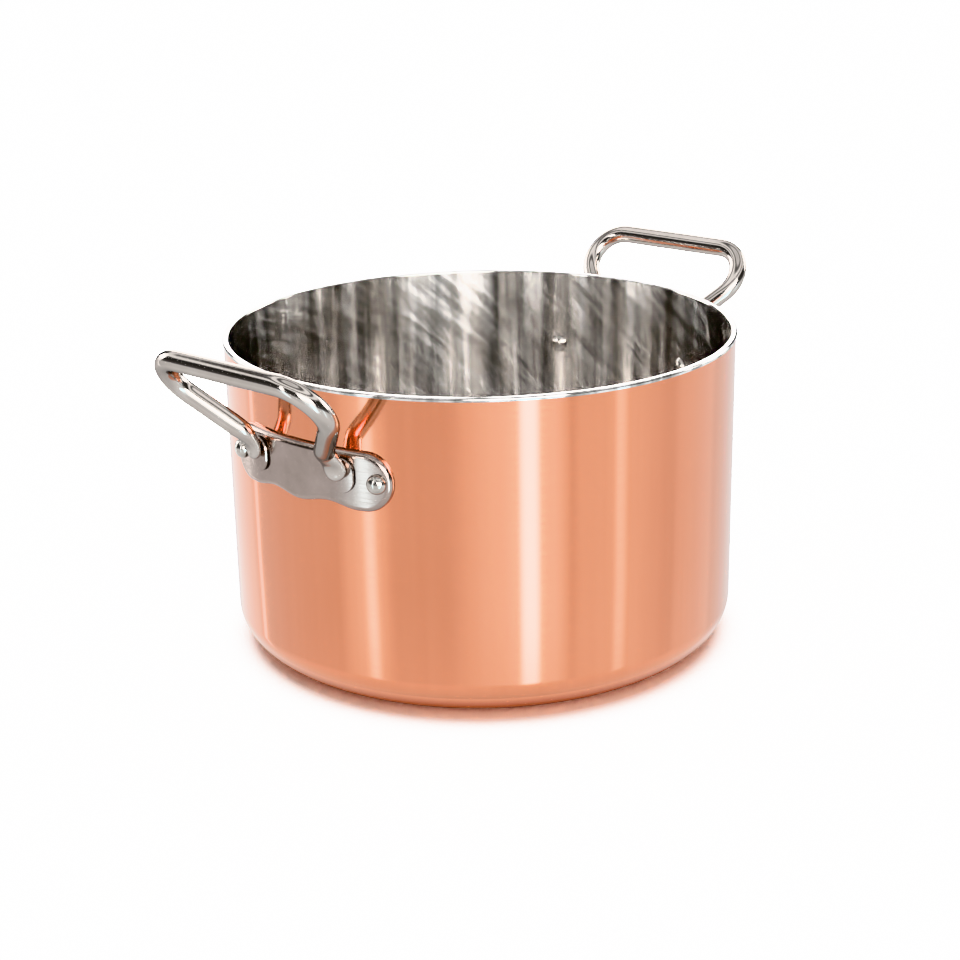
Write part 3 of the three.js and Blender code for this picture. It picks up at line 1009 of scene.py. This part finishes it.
# Light cards: four azimuths in degrees, where a card starts, is full, fades and ends, and its brightness over
# the room's, which is negative for a dark card. Azimuth 0 lies behind the camera and 90 to its right. The
# copper mirrors the low cards, and the tin the high ones. Strips are narrow lamps in front of the low cards,
# and edges stand behind the pot and show at the sides of its wall.
LOW_CARDS = (
    (-68, -57, -49, -40, 0.4),
    (-14, 11, 32, 39, 0.68),
    (40, 43, 72, 92, 0.18),
    (94, 98, 124, 128, 0.12),
)
LOW_STRIPS = (
    (-55, -52.5, -50.5, -48, 2.2),
    (15.5, 18.5, 22.5, 25, 11.0),
    (60, 62, 64, 67, 1.0),
)
LOW_EDGES = (
    (-162, -156, -129, -125, 0.35),
    (-124, -123.5, -122.5, -122, 3.0),
    (128, 135, 176, 180, -0.4),
)
HIGH_CARDS = (
    (-180, -179, -164, -160, 14.0),
    (-138, -134, -115, -111, 17.0),
    (-55, -53, -49, -47, 17.0),
    (-8, -4, 34, 39, 22.0),
    (101, 104, 107, 110, 9.0),
    (116, 120, 136, 140, 17.0),
    (168, 171, 179, 180, 14.0),
)
LOW_ROOM = 0.85
HIGH_ROOM = 0.08
OVERHEAD = 1.3
# The brightest that each ramp of cards can hold.
LOW_TOP = 5.0
STRIP_TOP = 20.0
HIGH_TOP = 24.0
WHITE = (1.0, 1.0, 1.0)
COOL = (0.8, 1.08, 1.2)
# The room's own brightness where it lights matt surfaces, and where the camera sees it.
WALLS_LIGHT = 0.4
WALLS_SEEN = 8.0
# At each height, from -1 straight below to 1 straight above: the shares of the low cards, of the high ones
# and of the light overhead.
HEIGHTS = (
    (-1.0, (0, 0, 0.56)),
    (-0.85, (0, 0, 0.68)),
    (-0.55, (0, 0, 0.76)),
    (-0.42, (1, 0, 0)),
    (-0.12, (1, 0, 0)),
    (-0.02, (0.12, 0.1, 0)),
    (0.1, (0, 0.15, 0.1)),
    (0.17, (0, 1, 0)),
    (0.38, (0, 1, 0)),
    (0.42, (0, 0.15, 0)),
    (0.5, (0, 0.15, 0.15)),
    (0.55, (0, 0, 1)),
    (0.64, (0, 0, 1)),
    (0.67, (0, 0, 0.05)),
    (0.72, (0, 0, 0.05)),
    (0.75, (0, 0, 1)),
    (0.85, (0, 0, 1)),
    (0.88, (0, 0, 0.15)),
    (0.93, (0, 0, 0.15)),
    (0.96, (0, 0, 0.8)),
    (1.0, (0, 0, 0.6)),
)


def fill_ramp(ramp, cards, level, colour, top):
    """Puts the cards on a ramp that goes once round the pot. Each lies apart from the next."""
    ramp.elements[1].position = 1.0
    for element in ramp.elements:
        element.color = (level / top, level / top, level / top, 1)
    for start, full, fading, end, strength in cards:
        for azimuth, value in ((start, 0), (full, strength), (fading, strength), (end, 0)):
            element = ramp.elements.new(azimuth / 360 + 0.5)
            element.color = (*((level + value * part) / top for part in colour), 1)


world = bpy.data.worlds.new("studio")
bpy.context.scene.world = world
world.cycles.sampling_method = "NONE"
world.use_nodes = True
nodes = world.node_tree
nodes.nodes.clear()
place = add_node(nodes, "ShaderNodeTexCoord")
turned = add_node(
    nodes,
    "ShaderNodeMapping",
    {"Rotation": (0, 0, math.radians(90) - CAMERA_TURN)},
    {"Vector": place.outputs["Generated"]},
)
azimuth = add_node(
    nodes, "ShaderNodeTexGradient", links={"Vector": turned.outputs["Vector"]}, gradient_type="RADIAL"
)
upright = add_node(nodes, "ShaderNodeSeparateXYZ", links={"Vector": place.outputs["Generated"]})
height = add_node(
    nodes,
    "ShaderNodeMapRange",
    {"From Min": -1.0, "From Max": 1.0},
    {"Value": upright.outputs["Z"]},
)
shares = add_node(nodes, "ShaderNodeValToRGB", links={"Fac": height.outputs["Result"]})
shares.color_ramp.elements[0].color = (*HEIGHTS[0][1], 1)
shares.color_ramp.elements[1].color = (*HEIGHTS[-1][1], 1)
for level, share in HEIGHTS[1:-1]:
    shares.color_ramp.elements.new(level / 2 + 0.5).color = (*share, 1)
tiers = add_node(nodes, "ShaderNodeSeparateColor", links={"Color": shares.outputs["Color"]})
total = add_node(
    nodes, "ShaderNodeVectorMath", {0: (OVERHEAD,) * 3}, {"Scale": tiers.outputs["Blue"]}, operation="SCALE"
)
for ring, level, colour, top, tier in (
    (LOW_CARDS, LOW_ROOM, COOL, LOW_TOP, "Red"),
    (LOW_STRIPS, 0.0, COOL, STRIP_TOP, "Red"),
    (LOW_EDGES, 0.0, WHITE, LOW_TOP, "Red"),
    (HIGH_CARDS, HIGH_ROOM, WHITE, HIGH_TOP, "Green"),
):
    lights = add_node(nodes, "ShaderNodeValToRGB", links={"Fac": azimuth.outputs["Fac"]})
    fill_ramp(lights.color_ramp, ring, level, colour, top)
    brightness = add_node(nodes, "ShaderNodeMath", {1: top}, {0: tiers.outputs[tier]}, operation="MULTIPLY")
    shining = add_node(
        nodes,
        "ShaderNodeVectorMath",
        links={0: lights.outputs["Color"], "Scale": brightness.outputs["Value"]},
        operation="SCALE",
    )
    total = add_node(
        nodes,
        "ShaderNodeVectorMath",
        links={0: total.outputs["Vector"], 1: shining.outputs["Vector"]},
        operation="ADD",
    )
cards = add_node(nodes, "ShaderNodeBackground", links={"Color": total.outputs["Vector"]})
ray = add_node(nodes, "ShaderNodeLightPath")
walls = add_node(
    nodes,
    "ShaderNodeMapRange",
    {"To Min": WALLS_LIGHT, "To Max": WALLS_SEEN},
    {"Value": ray.outputs["Is Camera Ray"]},
)
room = add_node(
    nodes, "ShaderNodeBackground", {"Color": (1, 1, 1, 1)}, {"Strength": walls.outputs["Result"]}
)
studio = add_node(
    nodes,
    "ShaderNodeMixShader",
    links={0: ray.outputs["Is Glossy Ray"], 1: room.outputs["Background"], 2: cards.outputs["Background"]},
)
add_node(nodes, "ShaderNodeOutputWorld", links={"Surface": studio.outputs["Shader"]})

right = Vector((math.cos(CAMERA_TURN), math.sin(CAMERA_TURN), 0))
back = Vector((math.cos(CAMERA_RISE) * right.y, -math.cos(CAMERA_RISE) * right.x, math.sin(CAMERA_RISE)))
up = back.cross(right)
level_right = right * math.cos(CAMERA_ROLL) + up * math.sin(CAMERA_ROLL)
level_up = up * math.cos(CAMERA_ROLL) - right * math.sin(CAMERA_ROLL)
stand = (right * CAMERA_TARGET[0] + Vector((0, 0, CAMERA_TARGET[1])) + back * CAMERA_DISTANCE) * MM
bpy.ops.object.camera_add()
camera = bpy.context.object
camera.matrix_world = Matrix.Translation(stand) @ Matrix((level_right, level_up, back)).transposed().to_4x4()
camera.data.sensor_width = SENSOR
camera.data.lens = CAMERA_FOCUS * SENSOR
camera.data.clip_start = 10 * MM
bpy.context.scene.camera = camera
bpy.context.scene.view_settings.view_transform = "Khronos PBR Neutral"
bpy.context.scene.cycles.glossy_bounces = 8
